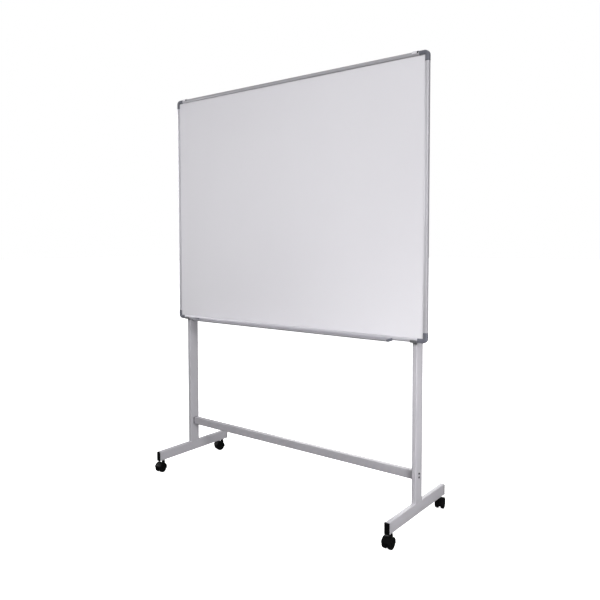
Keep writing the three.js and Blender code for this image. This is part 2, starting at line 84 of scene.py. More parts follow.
# --------------------------------------------------------------------------
# Materials
# --------------------------------------------------------------------------
class Nodes:
    """Short names for the nodes that the materials are built from."""

    def __init__(self, name):
        self.mat = bpy.data.materials.new(name)
        self.mat.use_nodes = True
        self.t = self.mat.node_tree
        self.t.nodes.clear()
        self.out = self.t.nodes.new("ShaderNodeOutputMaterial")
        self.bsdf = self.t.nodes.new("ShaderNodeBsdfPrincipled")
        self.t.links.new(self.bsdf.outputs[0], self.out.inputs[0])
        self.coord = self.t.nodes.new("ShaderNodeTexCoord").outputs["Object"]

    def link(self, a, b):
        self.t.links.new(a, b)

    def set(self, **values):
        for key, value in values.items():
            self.bsdf.inputs[key.replace("_", " ")].default_value = value

    def mapping(self, scale=(1, 1, 1), rotation=(0, 0, 0), location=(0, 0, 0)):
        n = self.t.nodes.new("ShaderNodeMapping")
        n.inputs["Scale"].default_value = scale
        n.inputs["Rotation"].default_value = rotation
        n.inputs["Location"].default_value = location
        self.link(self.coord, n.inputs["Vector"])
        return n.outputs[0]

    def noise(self, vector, scale, detail=3.0, rough=0.5, distortion=0.0):
        n = self.t.nodes.new("ShaderNodeTexNoise")
        n.inputs["Scale"].default_value = scale
        n.inputs["Detail"].default_value = detail
        n.inputs["Roughness"].default_value = rough
        n.inputs["Distortion"].default_value = distortion
        self.link(vector, n.inputs["Vector"])
        return n.outputs["Fac"]

    def voronoi(self, vector, scale, feature="F1", out="Distance", randomness=1.0):
        n = self.t.nodes.new("ShaderNodeTexVoronoi")
        n.feature = feature
        n.inputs["Scale"].default_value = scale
        n.inputs["Randomness"].default_value = randomness
        self.link(vector, n.inputs["Vector"])
        return n.outputs[out]

    def ramp(self, fac, stops, interpolation="LINEAR"):
        n = self.t.nodes.new("ShaderNodeValToRGB")
        n.color_ramp.interpolation = interpolation
        e = n.color_ramp.elements
        while len(e) < len(stops):
            e.new(0.5)
        for item, (pos, colour) in zip(e, stops):
            item.position = pos
            item.color = colour if len(colour) == 4 else (*colour, 1.0)
        self.link(fac, n.inputs["Fac"])
        return n.outputs["Color"]

    def span(self, fac, lo, hi, a, b):
        """fac from lo..hi mapped to a..b, clamped."""
        n = self.t.nodes.new("ShaderNodeMapRange")
        n.inputs["From Min"].default_value = lo
        n.inputs["From Max"].default_value = hi
        n.inputs["To Min"].default_value = a
        n.inputs["To Max"].default_value = b
        self.link(fac, n.inputs["Value"])
        return n.outputs["Result"]

    def maths(self, op, a, b=None):
        n = self.t.nodes.new("ShaderNodeMath")
        n.operation = op
        for socket, value in zip(n.inputs, (a, b)):
            if value is None:
                continue
            if isinstance(value, (int, float)):
                socket.default_value = value
            else:
                self.link(value, socket)
        return n.outputs[0]

    def mix(self, fac, a, b, blend="MIX"):
        n = self.t.nodes.new("ShaderNodeMix")
        n.data_type = "RGBA"
        n.blend_type = blend
        for key, value in ((0, fac), (6, a), (7, b)):
            socket = n.inputs[key]
            if isinstance(value, (int, float)):
                socket.default_value = value
            elif isinstance(value, tuple):
                socket.default_value = value if len(value) == 4 else (*value, 1.0)
            else:
                self.link(value, socket)
        return n.outputs[2]

    def edges(self, radius, lo=0.02, hi=0.35):
        """1 along worn outside edges, 0 on open faces."""
        bevel = self.t.nodes.new("ShaderNodeBevel")
        bevel.samples = 4
        bevel.inputs["Radius"].default_value = radius
        geo = self.t.nodes.new("ShaderNodeNewGeometry")
        dot = self.t.nodes.new("ShaderNodeVectorMath")
        dot.operation = "DOT_PRODUCT"
        self.link(bevel.outputs[0], dot.inputs[0])
        self.link(geo.outputs["Normal"], dot.inputs[1])
        return self.span(self.maths("SUBTRACT", 1.0, dot.outputs["Value"]), lo, hi, 0.0, 1.0)

    def bump(self, height, strength, distance, normal=None):
        n = self.t.nodes.new("ShaderNodeBump")
        n.inputs["Strength"].default_value = strength
        n.inputs["Distance"].default_value = distance
        self.link(height, n.inputs["Height"])
        if normal is not None:
            self.link(normal, n.inputs["Normal"])
        return n.outputs[0]

    def base(self, socket):
        self.link(socket, self.bsdf.inputs["Base Color"])

    def rough(self, socket):
        self.link(socket, self.bsdf.inputs["Roughness"])

    def normal(self, socket):
        self.link(socket, self.bsdf.inputs["Normal"])


def mat_enamel():
    n = Nodes("enamel_white")
    n.set(Metallic=0.0, IOR=1.5, Specular_IOR_Level=0.5, Coat_Weight=0.35, Coat_Roughness=0.12, Coat_IOR=1.5)
    clouds = n.noise(n.mapping((1.0, 1.0, 0.8)), 1.7, 2.0, 0.45)
    base = n.mix(n.span(clouds, 0.3, 0.7, 0.0, 1.0), (0.728, 0.715, 0.752), (0.748, 0.736, 0.772))
    # faint traces of wiped ink, in long smears
    smear = n.noise(n.mapping((2.0, 1.0, 9.0), (0, 0.5, 0)), 2.6, 5.0, 0.62, 0.8)
    smear = n.span(smear, 0.60, 0.80, 0.0, 0.045)
    base = n.mix(smear, base, (0.67, 0.67, 0.70))
    n.base(base)
    wipe = n.noise(n.mapping((3.0, 1.0, 22.0), (0, 0.35, 0)), 3.0, 4.0, 0.6, 0.4)
    n.rough(n.span(wipe, 0.3, 0.7, 0.28, 0.34))
    peel = n.noise(n.mapping(), 260.0, 2.0, 0.5)
    n.normal(n.bump(peel, 0.06, 0.0004))
    return n.mat


def mat_anodised(name, along, tone=1.0, metallic=1.0, rough=0.30):
    """Satin anodised extrusion: fine die lines along its length, slight mottling."""
    n = Nodes(name)
    n.set(Metallic=metallic, Anisotropic=0.35, IOR=1.45)
    stretch = [900.0, 900.0, 900.0]
    stretch["xyz".index(along)] = 3.0
    lines = n.noise(n.mapping(tuple(stretch)), 1.0, 3.0, 0.55)
    broad = [55.0, 55.0, 55.0]
    broad["xyz".index(along)] = 1.4
    bands = n.noise(n.mapping(tuple(broad)), 1.0, 2.0, 0.5)
    mottle = n.noise(n.mapping(), 38.0, 4.0, 0.6)
    # tone scales the whole colour; the top bar's 0.80 is painted shade and the bottom bar's 1.12 is painted light
    dark = tuple(c * tone for c in (0.503, 0.495, 0.527))
    light = tuple(c * tone for c in (0.624, 0.613, 0.650))
    base = n.mix(n.span(lines, 0.3, 0.7, 0.0, 1.0), dark, light)
    base = n.mix(n.span(mottle, 0.35, 0.7, 0.0, 0.22), base, tuple(c * tone for c in (0.563, 0.554, 0.588)))
    wear = n.edges(0.0009, 0.05, 0.6)
    base = n.mix(n.maths("MULTIPLY", wear, 0.35), base, (0.86, 0.86, 0.88))
    n.base(base)
    r = n.maths("ADD", n.span(lines, 0.25, 0.75, rough, rough + 0.12), n.span(bands, 0.3, 0.7, -0.03, 0.05))
    n.rough(r)
    height = n.maths("ADD", lines, n.maths("MULTIPLY", bands, 0.6))
    n.normal(n.bump(height, 0.22, 0.00008))
    return n.mat


def mat_paint(name="grey_powder_coat", tint=(0.460, 0.448, 0.479)):
    """Light grey powder coat with a faint warm-violet cast and orange peel."""
    n = Nodes(name)
    n.set(Metallic=0.0, IOR=1.5, Coat_Weight=0.12, Coat_Roughness=0.25)
    big = n.noise(n.mapping(), 6.0, 3.0, 0.5)
    fine = n.noise(n.mapping(), 420.0, 3.0, 0.6)
    a = tuple(c * 0.955 for c in tint)
    b = tuple(min(1.0, c * 1.035) for c in tint)
    base = n.mix(n.span(big, 0.3, 0.7, 0.0, 1.0), a, b)
    base = n.mix(n.span(fine, 0.62, 0.8, 0.0, 0.10), base, tuple(c * 0.8 for c in tint))
    edge = n.edges(0.0014, 0.04, 0.5)
    chips = n.span(n.noise(n.mapping(), 150.0, 4.0, 0.7), 0.52, 0.72, 0.0, 1.0)
    base = n.mix(n.maths("MULTIPLY", n.maths("MULTIPLY", edge, chips), 0.28), base, tuple(min(1.0, c * 1.28) for c in tint))
    # scuffs low on the stand
    sep = n.t.nodes.new("ShaderNodeSeparateXYZ")
    n.link(n.coord, sep.inputs[0])
    low = n.span(sep.outputs["Z"], 0.06, 0.16, 1.0, 0.0)
    scuff = n.span(n.noise(n.mapping((1, 0.35, 1)), 46.0, 5.0, 0.7, 0.6), 0.60, 0.74, 0.0, 1.0)
    base = n.mix(n.maths("MULTIPLY", n.maths("MULTIPLY", low, scuff), 0.22), base, tuple(c * 0.55 for c in tint))
    n.base(base)
    n.rough(n.maths("ADD", n.span(big, 0.3, 0.7, 0.40, 0.48), n.maths("MULTIPLY", scuff, 0.06)))
    peel = n.noise(n.mapping(), 700.0, 2.0, 0.55)
    swell = n.noise(n.mapping(), 230.0, 1.0, 0.5)
    n.normal(n.bump(n.maths("ADD", peel, n.maths("MULTIPLY", swell, 1.6)), 0.22, 0.00012))
    return n.mat


def mat_plastic(name, colour, lo, hi, grain=900.0, strength=0.35, wear=0.25, light=None, spec=0.5):
    """Moulded plastic with a fine spark-eroded texture and rubbed edges."""
    n = Nodes(name)
    n.set(Metallic=0.0, IOR=1.47, Specular_IOR_Level=spec)
    cloud = n.noise(n.mapping(), 24.0, 4.0, 0.55)
    a = tuple(c * 0.90 for c in colour)
    b = tuple(c * 1.10 for c in colour)
    base = n.mix(n.span(cloud, 0.3, 0.7, 0.0, 1.0), a, b)
    edge = n.edges(0.0008, 0.04, 0.5)
    rub = n.span(n.noise(n.mapping(), 210.0, 4.0, 0.65), 0.4, 0.75, 0.2, 1.0)
    light = light or tuple(c * 1.7 + 0.02 for c in colour)
    base = n.mix(n.maths("MULTIPLY", n.maths("MULTIPLY", edge, rub), wear), base, light)
    n.base(base)
    spark = n.noise(n.mapping(), grain, 2.0, 0.6)
    cells = n.voronoi(n.mapping(), grain * 1.3)
    n.rough(n.maths("ADD", n.span(cloud, 0.3, 0.7, lo, hi), n.span(spark, 0.3, 0.7, -0.03, 0.03)))
    n.normal(n.bump(n.maths("ADD", spark, n.maths("MULTIPLY", cells, 0.6)), strength, 0.00007))
    return n.mat


def mat_tread():
    n = Nodes("tread_black")
    n.set(Metallic=0.0, IOR=1.5, Specular_IOR_Level=0.05)
    cloud = n.noise(n.mapping(), 60.0, 5.0, 0.65)
    base = n.mix(n.span(cloud, 0.3, 0.72, 0.0, 1.0), (0.003, 0.003, 0.0031), (0.006, 0.006, 0.0062))
    dust = n.span(n.noise(n.mapping(), 340.0, 5.0, 0.75), 0.60, 0.78, 0.0, 1.0)
    sep = n.t.nodes.new("ShaderNodeSeparateXYZ")
    n.link(n.coord, sep.inputs[0])
    base = n.mix(n.maths("MULTIPLY", dust, 0.08), base, (0.07, 0.068, 0.065))
    n.base(base)
    n.rough(n.span(cloud, 0.3, 0.7, 0.52, 0.68))
    scratch = n.noise(n.mapping((1, 1, 1)), 520.0, 4.0, 0.7)
    n.normal(n.bump(scratch, 0.3, 0.0001))
    return n.mat


def mat_metal(name, a, b, rough, scale=180.0, bump=0.15, metallic=1.0, speckle=None):
    n = Nodes(name)
    n.set(Metallic=metallic, IOR=1.45)
    grain = n.noise(n.mapping(), scale, 4.0, 0.6)
    base = n.mix(n.span(grain, 0.3, 0.7, 0.0, 1.0), a, b)
    if speckle:
        spots = n.span(n.noise(n.mapping(), scale * 0.35, 5.0, 0.7), 0.58, 0.74, 0.0, 1.0)
        base = n.mix(n.maths("MULTIPLY", spots, 0.35), base, speckle)
    edge = n.edges(0.0006, 0.05, 0.5)
    base = n.mix(n.maths("MULTIPLY", edge, 0.3), base, tuple(min(1.0, c * 1.5 + 0.02) for c in b))
    n.base(base)
    n.rough(n.span(grain, 0.3, 0.7, rough[0], rough[1]))
    n.normal(n.bump(grain, bump, 0.00008))
    return n.mat


def mat_galvanised():
    """Galvanised backing sheet with a small spangle and rolling lines."""
    n = Nodes("galvanised_sheet")
    n.set(Metallic=0.55, IOR=1.45)
    warp = n.mapping((1.0, 1.0, 1.0))
    cells = n.voronoi(warp, 62.0, out="Color")
    sep = n.t.nodes.new("ShaderNodeSeparateColor")
    n.link(cells, sep.inputs[0])
    tone = sep.outputs[0]
    base = n.mix(tone, (0.46, 0.465, 0.475), (0.60, 0.605, 0.615))
    roll = n.noise(n.mapping((1.5, 1.0, 90.0)), 3.0, 3.0, 0.6)
    base = n.mix(n.span(roll, 0.35, 0.7, 0.0, 0.18), base, (0.36, 0.365, 0.375))
    bloom = n.span(n.noise(n.mapping(), 3.2, 5.0, 0.6), 0.55, 0.75, 0.0, 0.25)
    base = n.mix(bloom, base, (0.62, 0.625, 0.63))
    n.base(base)
    n.rough(n.maths("ADD", n.span(tone, 0.0, 1.0, 0.36, 0.5), n.maths("MULTIPLY", bloom, 0.3)))
    edge = n.voronoi(warp, 62.0, feature="DISTANCE_TO_EDGE")
    n.normal(n.bump(n.span(edge, 0.0, 0.06, 0.0, 1.0), 0.12, 0.00005))
    return n.mat


def mat_fibreboard():
    n = Nodes("fibreboard")
    n.set(Metallic=0.0, IOR=1.4)
    fibre = n.noise(n.mapping((1, 1, 6)), 240.0, 6.0, 0.7)
    base = n.mix(n.span(fibre, 0.3, 0.7, 0.0, 1.0), (0.27, 0.17, 0.09), (0.42, 0.29, 0.17))
    n.base(base)
    n.rough(n.span(fibre, 0.3, 0.7, 0.8, 0.95))
    n.normal(n.bump(fibre, 0.4, 0.0003))
    return n.mat


M = {
    "enamel": mat_enamel(),
    # the top bar's copy is darkened as painted shade, for the dim light on the top bar
    "alu_top_painted_shade": mat_anodised("anodised_top_painted_shade", "x", 0.80, 0.55, 0.40),
    # the bottom bar's copy is lightened as painted light, for the bright light on the bottom bar
    "alu_bottom_painted_light": mat_anodised("anodised_bottom_painted_light", "x", 1.12, 0.60, 0.40),
    "alu_side": mat_anodised("anodised_side", "z", 0.98, 0.60, 0.40),
    "tray": mat_anodised("anodised_tray", "x", 0.98, 0.60, 0.42),
    "paint": mat_paint(),
    # the hooks' copy of the stand's powder coat is lightened as painted light, for the light on the hooks' tops
    "paint_hook_painted_light": mat_paint("grey_powder_coat_hook_painted_light", (0.680, 0.668, 0.700)),
    # the crossbar's copy of the stand's powder coat is darkened as painted shade
    "paint_bar_painted_shade": mat_paint("grey_powder_coat_bar_painted_shade", (0.396, 0.383, 0.410)),
    "cap": mat_plastic("grey_plastic_cap", (0.124, 0.128, 0.153), 0.40, 0.50, 700.0, 0.30, 0.30),
    "black": mat_plastic("black_plastic", (0.0035, 0.0035, 0.0037), 0.42, 0.54, 800.0, 0.30, 0.10, (0.015, 0.015, 0.016), 0.05),
    "tread": mat_tread(),
    "black_steel": mat_metal("black_oxide_steel", (0.018, 0.018, 0.02), (0.034, 0.034, 0.037), (0.38, 0.5), 260.0, 0.2, 0.6),
    "bolt": mat_metal("black_bolt_steel", (0.0035, 0.0035, 0.004), (0.006, 0.006, 0.0066), (0.48, 0.6), 260.0, 0.2, 0.0),
    # the end blocks' zinc is darker than the clips' zinc: painted shade for the gap between crossbar and upright
    "end_block_painted_shade": mat_metal("zinc_end_block", (0.150, 0.150, 0.162), (0.205, 0.205, 0.218), (0.42, 0.55), 140.0, 0.18, 0.75, (0.11, 0.11, 0.12)),
    "zinc": mat_metal("zinc_steel", (0.20, 0.20, 0.215), (0.28, 0.28, 0.295), (0.42, 0.55), 140.0, 0.18, 0.75, (0.15, 0.15, 0.16)),
    "steel": mat_metal("bright_steel", (0.50, 0.50, 0.52), (0.62, 0.62, 0.64), (0.25, 0.35), 200.0, 0.15),
    "galvanised": mat_galvanised(),
    "fibreboard": mat_fibreboard(),
}


# --------------------------------------------------------------------------
# Mesh helpers.  Lengths in the helpers' arguments are millimetres.
# --------------------------------------------------------------------------
def finish_mesh(bm, name, angle=32.0):
    bmesh.ops.remove_doubles(bm, verts=bm.verts, dist=1e-7)
    bmesh.ops.recalc_face_normals(bm, faces=bm.faces)
    me = bpy.data.meshes.new(name)
    bm.to_mesh(me)
    bm.free()
    for p in me.polygons:
        p.use_smooth = True
    me.set_sharp_from_angle(angle=math.radians(angle))
    return me


def piece(name, mesh, body, mat, replaces=(), bevel=None, bevel_seg=2, bevel_angle=35.0):
    o = bpy.data.objects.new(name, mesh)
    bpy.context.scene.collection.objects.link(o)
    o.data.materials.clear()
    o.data.materials.append(M[mat])
    if bevel:
        b = o.modifiers.new("rounded_edges", "BEVEL")
        b.width = bevel * MM
        b.segments = bevel_seg
        b.limit_method = "ANGLE"
        b.angle_limit = math.radians(bevel_angle)
        b.harden_normals = False
        b.use_clamp_overlap = True
    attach(o, body)
    if replaces:
        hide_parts(*replaces)
    return o


def loft(bm, sections, cap=True, closed_path=False):
    """Joins rings of equal length, each a list of points in mm, into a skin."""
    rings = [[bm.verts.new(Vector(p) * MM) for p in ring] for ring in sections]
    n = len(rings[0])
    pairs = list(zip(rings, rings[1:])) + ([(rings[-1], rings[0])] if closed_path else [])
    for a, b in pairs:
        for i in range(n):
            j = (i + 1) % n
            bm.faces.new((a[i], a[j], b[j], b[i]))
    if cap and not closed_path:
        bm.faces.new(rings[0][::-1])
        bm.faces.new(rings[-1])
    return rings


def round_rect(w, h, r, seg=6, cx=0.0, cy=0.0):
    pts = []
    for x, y, a0 in ((w / 2 - r, h / 2 - r, 0), (-w / 2 + r, h / 2 - r, 90), (-w / 2 + r, -h / 2 + r, 180), (w / 2 - r, -h / 2 + r, 270)):
        for i in range(seg + 1):
            a = math.radians(a0 + 90 * i / seg)
            pts.append((cx + x + r * math.cos(a), cy + y + r * math.sin(a)))
    return pts


def tube(bm, w, h, r, wall, start, end, to3d, seg=6):
    """Hollow tube of rounded rectangular section between start and end."""
    outer = round_rect(w, h, r, seg)
    inner = round_rect(w - 2 * wall, h - 2 * wall, max(r - wall, 0.8), seg)
    steps = [start, end]
    rings_o = [[bm.verts.new(Vector(to3d(u, v, s)) * MM) for u, v in outer] for s in steps]
    rings_i = [[bm.verts.new(Vector(to3d(u, v, s)) * MM) for u, v in inner] for s in steps]
    n = len(outer)
    for i in range(n):
        j = (i + 1) % n
        bm.faces.new((rings_o[0][i], rings_o[0][j], rings_o[1][j], rings_o[1][i]))
        bm.faces.new((rings_i[0][j], rings_i[0][i], rings_i[1][i], rings_i[1][j]))
        bm.faces.new((rings_o[0][j], rings_o[0][i], rings_i[0][i], rings_i[0][j]))
        bm.faces.new((rings_o[1][i], rings_o[1][j], rings_i[1][j], rings_i[1][i]))


def lathe(bm, profile, seg, to3d):
    """Turns a profile of (radius, height), from axis to axis, about its axis."""
    rings = []
    for r, h in profile:
        if r < 1e-6:
            rings.append([bm.verts.new(Vector(to3d(0, 0, h)) * MM)])
        else:
            rings.append([
                bm.verts.new(Vector(to3d(r * math.cos(2 * math.pi * i / seg), r * math.sin(2 * math.pi * i / seg), h)) * MM)
                for i in range(seg)
            ])
    for a, b in zip(rings, rings[1:]):
        for i in range(seg):
            j = (i + 1) % seg
            if len(a) == 1 and len(b) == 1:
                continue
            if len(a) == 1:
                bm.faces.new((a[0], b[i], b[j]))
            elif len(b) == 1:
                bm.faces.new((a[i], a[j], b[0]))
            else:
                bm.faces.new((a[i], a[j], b[j], b[i]))


def fillet(points, radii, seg=4):
    """Rounds the corners of a closed outline of (x, y)."""
    out = []
    n = len(points)
    for k in range(n):
        p = Vector(points[k])
        a = Vector(points[k - 1]) - p
        b = Vector(points[(k + 1) % n]) - p
        r = radii[k] if isinstance(radii, (list, tuple)) else radii
        angle = a.angle(b)
        if r <= 0 or angle > math.radians(176):
            out.append(tuple(p))
            continue
        t = min(r / math.tan(angle / 2), a.length * 0.48, b.length * 0.48)
        r = t * math.tan(angle / 2)
        s, e = p + a.normalized() * t, p + b.normalized() * t
        c = p + (a.normalized() + b.normalized()).normalized() * (r / math.sin(angle / 2))
        va, vb = s - c, e - c
        sweep = va.angle(vb)
        sign = 1 if va.x * vb.y - va.y * vb.x > 0 else -1
        for i in range(seg + 1):
            q = sign * sweep * i / seg
            out.append((c.x + va.x * math.cos(q) - va.y * math.sin(q), c.y + va.x * math.sin(q) + va.y * math.cos(q)))
    return out


def smooth_curve(points, per=5):
    """Catmull-Rom through open points."""
    out = []
    pts = [Vector(p) for p in points]
    for i in range(len(pts) - 1):
        p0 = pts[i - 1] if i else pts[0] * 2 - pts[1]
        p1, p2 = pts[i], pts[i + 1]
        p3 = pts[i + 2] if i + 2 < len(pts) else pts[-1] * 2 - pts[-2]
        for k in range(per):
            t = k / per
            q = 0.5 * ((2 * p1) + (p2 - p0) * t + (2 * p0 - 5 * p1 + 4 * p2 - p3) * t * t + (3 * p1 - p0 - 3 * p2 + p3) * t ** 3)
            out.append(tuple(q))
    out.append(tuple(pts[-1]))
    return out


# Positions, in mm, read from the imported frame
def bx(node):
    lo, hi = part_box(node)
    return Vector(lo) * 1000, Vector(hi) * 1000


top_lo, top_hi = bx("frame_top")
bot_lo, bot_hi = bx("frame_bottom")
left_lo, left_hi = bx("frame_left")
right_lo, right_hi = bx("frame_right")
BACK_Y = top_hi.y  # plane of the frame's back
BOARD_Z0, BOARD_Z1 = bot_lo.z, top_hi.z
BOARD_X0, BOARD_X1 = left_lo.x, right_hi.x
FACE = top_hi.z - top_lo.z
CREST = top_hi.y - top_lo.y


# --------------------------------------------------------------------------
# Board
# --------------------------------------------------------------------------
def crown(face, edge_v, crest, inner_v, n=22, power=2.5):
    """Crowned face of an extrusion, from the outer edge to the inner edge."""
    pts = []
    for i in range(n + 1):
        # denser towards the two shoulders
        t = 0.5 - 0.5 * math.cos(math.pi * i / n)
        u = face * t
        base = edge_v + (inner_v - edge_v) * t
        k = abs(2 * t - 1) ** power
        pts.append((u, base + (crest - base) * math.sqrt(max(0.0, 1 - k))))
    return pts


def frame_profile():
    pts = [(0.35, 0.0), (0.0, 0.35), (0.0, 3.2), (0.3, 3.5), (0.3, 4.1), (0.0, 4.4), (0.0, 9.0)]
    pts += crown(FACE, 9.9, CREST, 9.7)
    pts += [(FACE, 9.35), (FACE - 0.2, 9.2), (14.6, 9.2), (14.2, 12.1), (8.0, 12.6), (3.2, 12.1), (1.4, 10.0), (1.4, 1.4), (12.0, 1.4), (12.0, 0.2), (11.8, 0.0)]
    return pts


def frame_bar(name, node, to3d, start, end, mat):
    bm = bmesh.new()
    prof = frame_profile()
    loft(bm, [[to3d(u, v, s) for u, v in prof] for s in (start, end)])
    me = finish_mesh(bm, name, 24.0)
    piece(name, me, "stand", mat, [node])


frame_bar("frame_top_extrusion", "frame_top", lambda u, v, s: (s, BACK_Y - v, BOARD_Z1 - u), top_lo.x, top_hi.x, "alu_top_painted_shade")
frame_bar("frame_bottom_extrusion", "frame_bottom", lambda u, v, s: (s, BACK_Y - v, BOARD_Z0 + u), bot_lo.x, bot_hi.x, "alu_bottom_painted_light")
frame_bar("frame_left_extrusion", "frame_left", lambda u, v, s: (BOARD_X0 + u, BACK_Y - v, s), left_lo.z, left_hi.z, "alu_side")
frame_bar("frame_right_extrusion", "frame_right", lambda u, v, s: (BOARD_X1 - u, BACK_Y - v, s), right_lo.z, right_hi.z, "alu_side")


def corner_cap(name, node, sx, sz):
    """An L swept round the corner: rounded outside, nearly square inside."""
    proud, leg, R, crest = 0.6, 44.0, 22.0, 14.7
    face = FACE + 0.5
    ox = BOARD_X1 if sx > 0 else BOARD_X0
    oz = BOARD_Z1 if sz > 0 else BOARD_Z0
    stations = []  # (outer point, inner point), as distances in from the corner
    inner_r = 1.6

    def leg_stations(first):
        ts = [0.0, 0.35, 0.9, 6.0, 14.0, leg - R]
        rows = []
        for t in ts:
            a = leg - t
            shrink = 0.0
            if t == 0.0:
                shrink = 0.7
            elif t == 0.35:
                shrink = 0.22
            rows.append((a, shrink))
        return rows

    for a, shrink in leg_stations(True):
        stations.append(((a, -proud), (max(a, face + inner_r), face), shrink))
    n = 14
    for i in range(1, n):
        q = math.pi / 2 * i / n
        o = (R - (R + proud) * math.sin(q), R - (R + proud) * math.cos(q))
        c = face + inner_r
        inn = (c - inner_r * math.sin(q), c - inner_r * math.cos(q))
        stations.append((o, inn, 0.0))
    for a, shrink in reversed(leg_stations(False)):
        stations.append(((-proud, a), (face, max(a, face + inner_r)), shrink))

    width = face + proud
    prof = [(0.6, 0.0), (0.0, 0.7), (0.0, 9.2)]
    prof += [(u, v) for u, v in crown(width, 10.0, crest, 10.2, 18, 2.9)]
    prof += [(width, 9.5), (width - 0.3, 9.3), (width - 2.4, 9.3), (2.6, 9.3), (2.6, 1.25), (width - 7.0, 1.25), (width - 7.0, 0.3), (width - 7.3, 0.0)]
    rings = []
    for outer, inner, shrink in stations:
        ring = []
        for u, v in prof:
            t = u / width
            # ends of the legs are drawn in slightly, as a moulded edge is
            if shrink:
                cu, cv = 0.5, 6.5
                t = cu + (t - cu) * (1 - shrink * 1.2 / width)
                v = cv + (v - cv) * (1 - shrink * 1.2 / crest)
            p = outer[0] + (inner[0] - outer[0]) * t
            q = outer[1] + (inner[1] - outer[1]) * t
            ring.append((ox - sx * p, BACK_Y - v, oz - sz * q))
        rings.append(ring)
    bm = bmesh.new()
    loft(bm, rings)
    me = finish_mesh(bm, name, 38.0)
    piece(name, me, "stand", "cap", [node])


for side, sx in (("left", -1), ("right", 1)):
    for end, sz in (("top", 1), ("bottom", -1)):
        corner_cap(f"corner_cap_{end}_{side}_moulding", f"corner_cap_{end}_{side}", sx, sz)

for node, mat in (("writing_surface", "enamel"), ("board_core", "fibreboard"), ("back_panel", "galvanised")):
    o = frame["nodes"][node]
    o.data.materials.clear()
    o.data.materials.append(M[mat])


# --------------------------------------------------------------------------
# Pen tray
# --------------------------------------------------------------------------
def tray_profile():
    outer = smooth_curve([(46, -1.55), (50, -1.6), (54, -1.35), (57.4, -0.5), (60.2, 1.0), (62.2, 3.2), (63.2, 5.6), (63.4, 7.3)], 4)
    bead = smooth_curve([(63.4, 7.3), (63.25, 8.2), (62.6, 8.7), (61.8, 8.75), (61.2, 8.3), (61.0, 7.4)], 3)[1:]
    inner = smooth_curve([(61.0, 7.4), (60.8, 5.4), (59.6, 3.2), (57.6, 1.5), (54.6, 0.4), (50, -0.05), (46, -0.06)], 4)[1:]
    ridges = []
    for x in (42, 36, 30, 24):  # low ribs that keep pens from rolling
        ridges += [(x + 0.9, -0.06), (x + 0.45, 0.32), (x - 0.45, 0.32), (x - 0.9, -0.06)]
    back = [(15.2, -0.06), (3.2, -0.06), (3.0, -0.3), (3.0, -1.4), (3.2, -1.6), (14, -1.6)]
    return outer + bead + inner + ridges + back


def make_tray():
    lo, hi = bx("pen_tray")
    bm = bmesh.new()
    prof = tray_profile()
    loft(bm, [[(s, BACK_Y - u, BOARD_Z0 + v) for u, v in prof] for s in (lo.x, hi.x)])
    piece("pen_tray_extrusion", finish_mesh(bm, "pen_tray_extrusion", 28.0), "stand", "tray", ["pen_tray"])
    outline = smooth_curve([(22, -2.3), (36, -2.4), (50, -2.4), (56.4, -1.8), (60.9, 0.1), (63.6, 3.5), (64.5, 7.2), (64.0, 9.1), (62.0, 9.75), (57, 9.9), (40, 10.2), (22, 10.5), (16.2, 10.3)], 4)
    outline += [(15.0, 9.2), (14.9, 4.0), (14.9, 0.2), (15.6, -0.5)]
    for side in ("left", "right"):
        node = "pen_tray_cap_" + side
        clo, chi = bx(node)
        bm = bmesh.new()
        outward = -1 if side == "left" else 1
        inner_x, outer_x = (chi.x, clo.x) if outward < 0 else (clo.x, chi.x)
        cu, cv = 40.0, 4.0
        rings = []
        for depth, inset in ((0.0, 0.25), (0.25, 0.0), (1.6, 0.0), (2.2, 0.25), (2.5, 0.7), (2.6, 1.3)):
            ring = []
            for u, v in outline:
                du, dv = u - cu, v - cv
                ring.append((inner_x + outward * depth, BACK_Y - (cu + du * (1 - inset / 25.0)), BOARD_Z0 + cv + dv * (1 - inset / 6.5)))
            rings.append(ring)
        loft(bm, rings)
        piece(f"pen_tray_cap_{side}_moulding", finish_mesh(bm, "tray_cap_" + side, 34.0), "stand", "cap", [node])


make_tray()


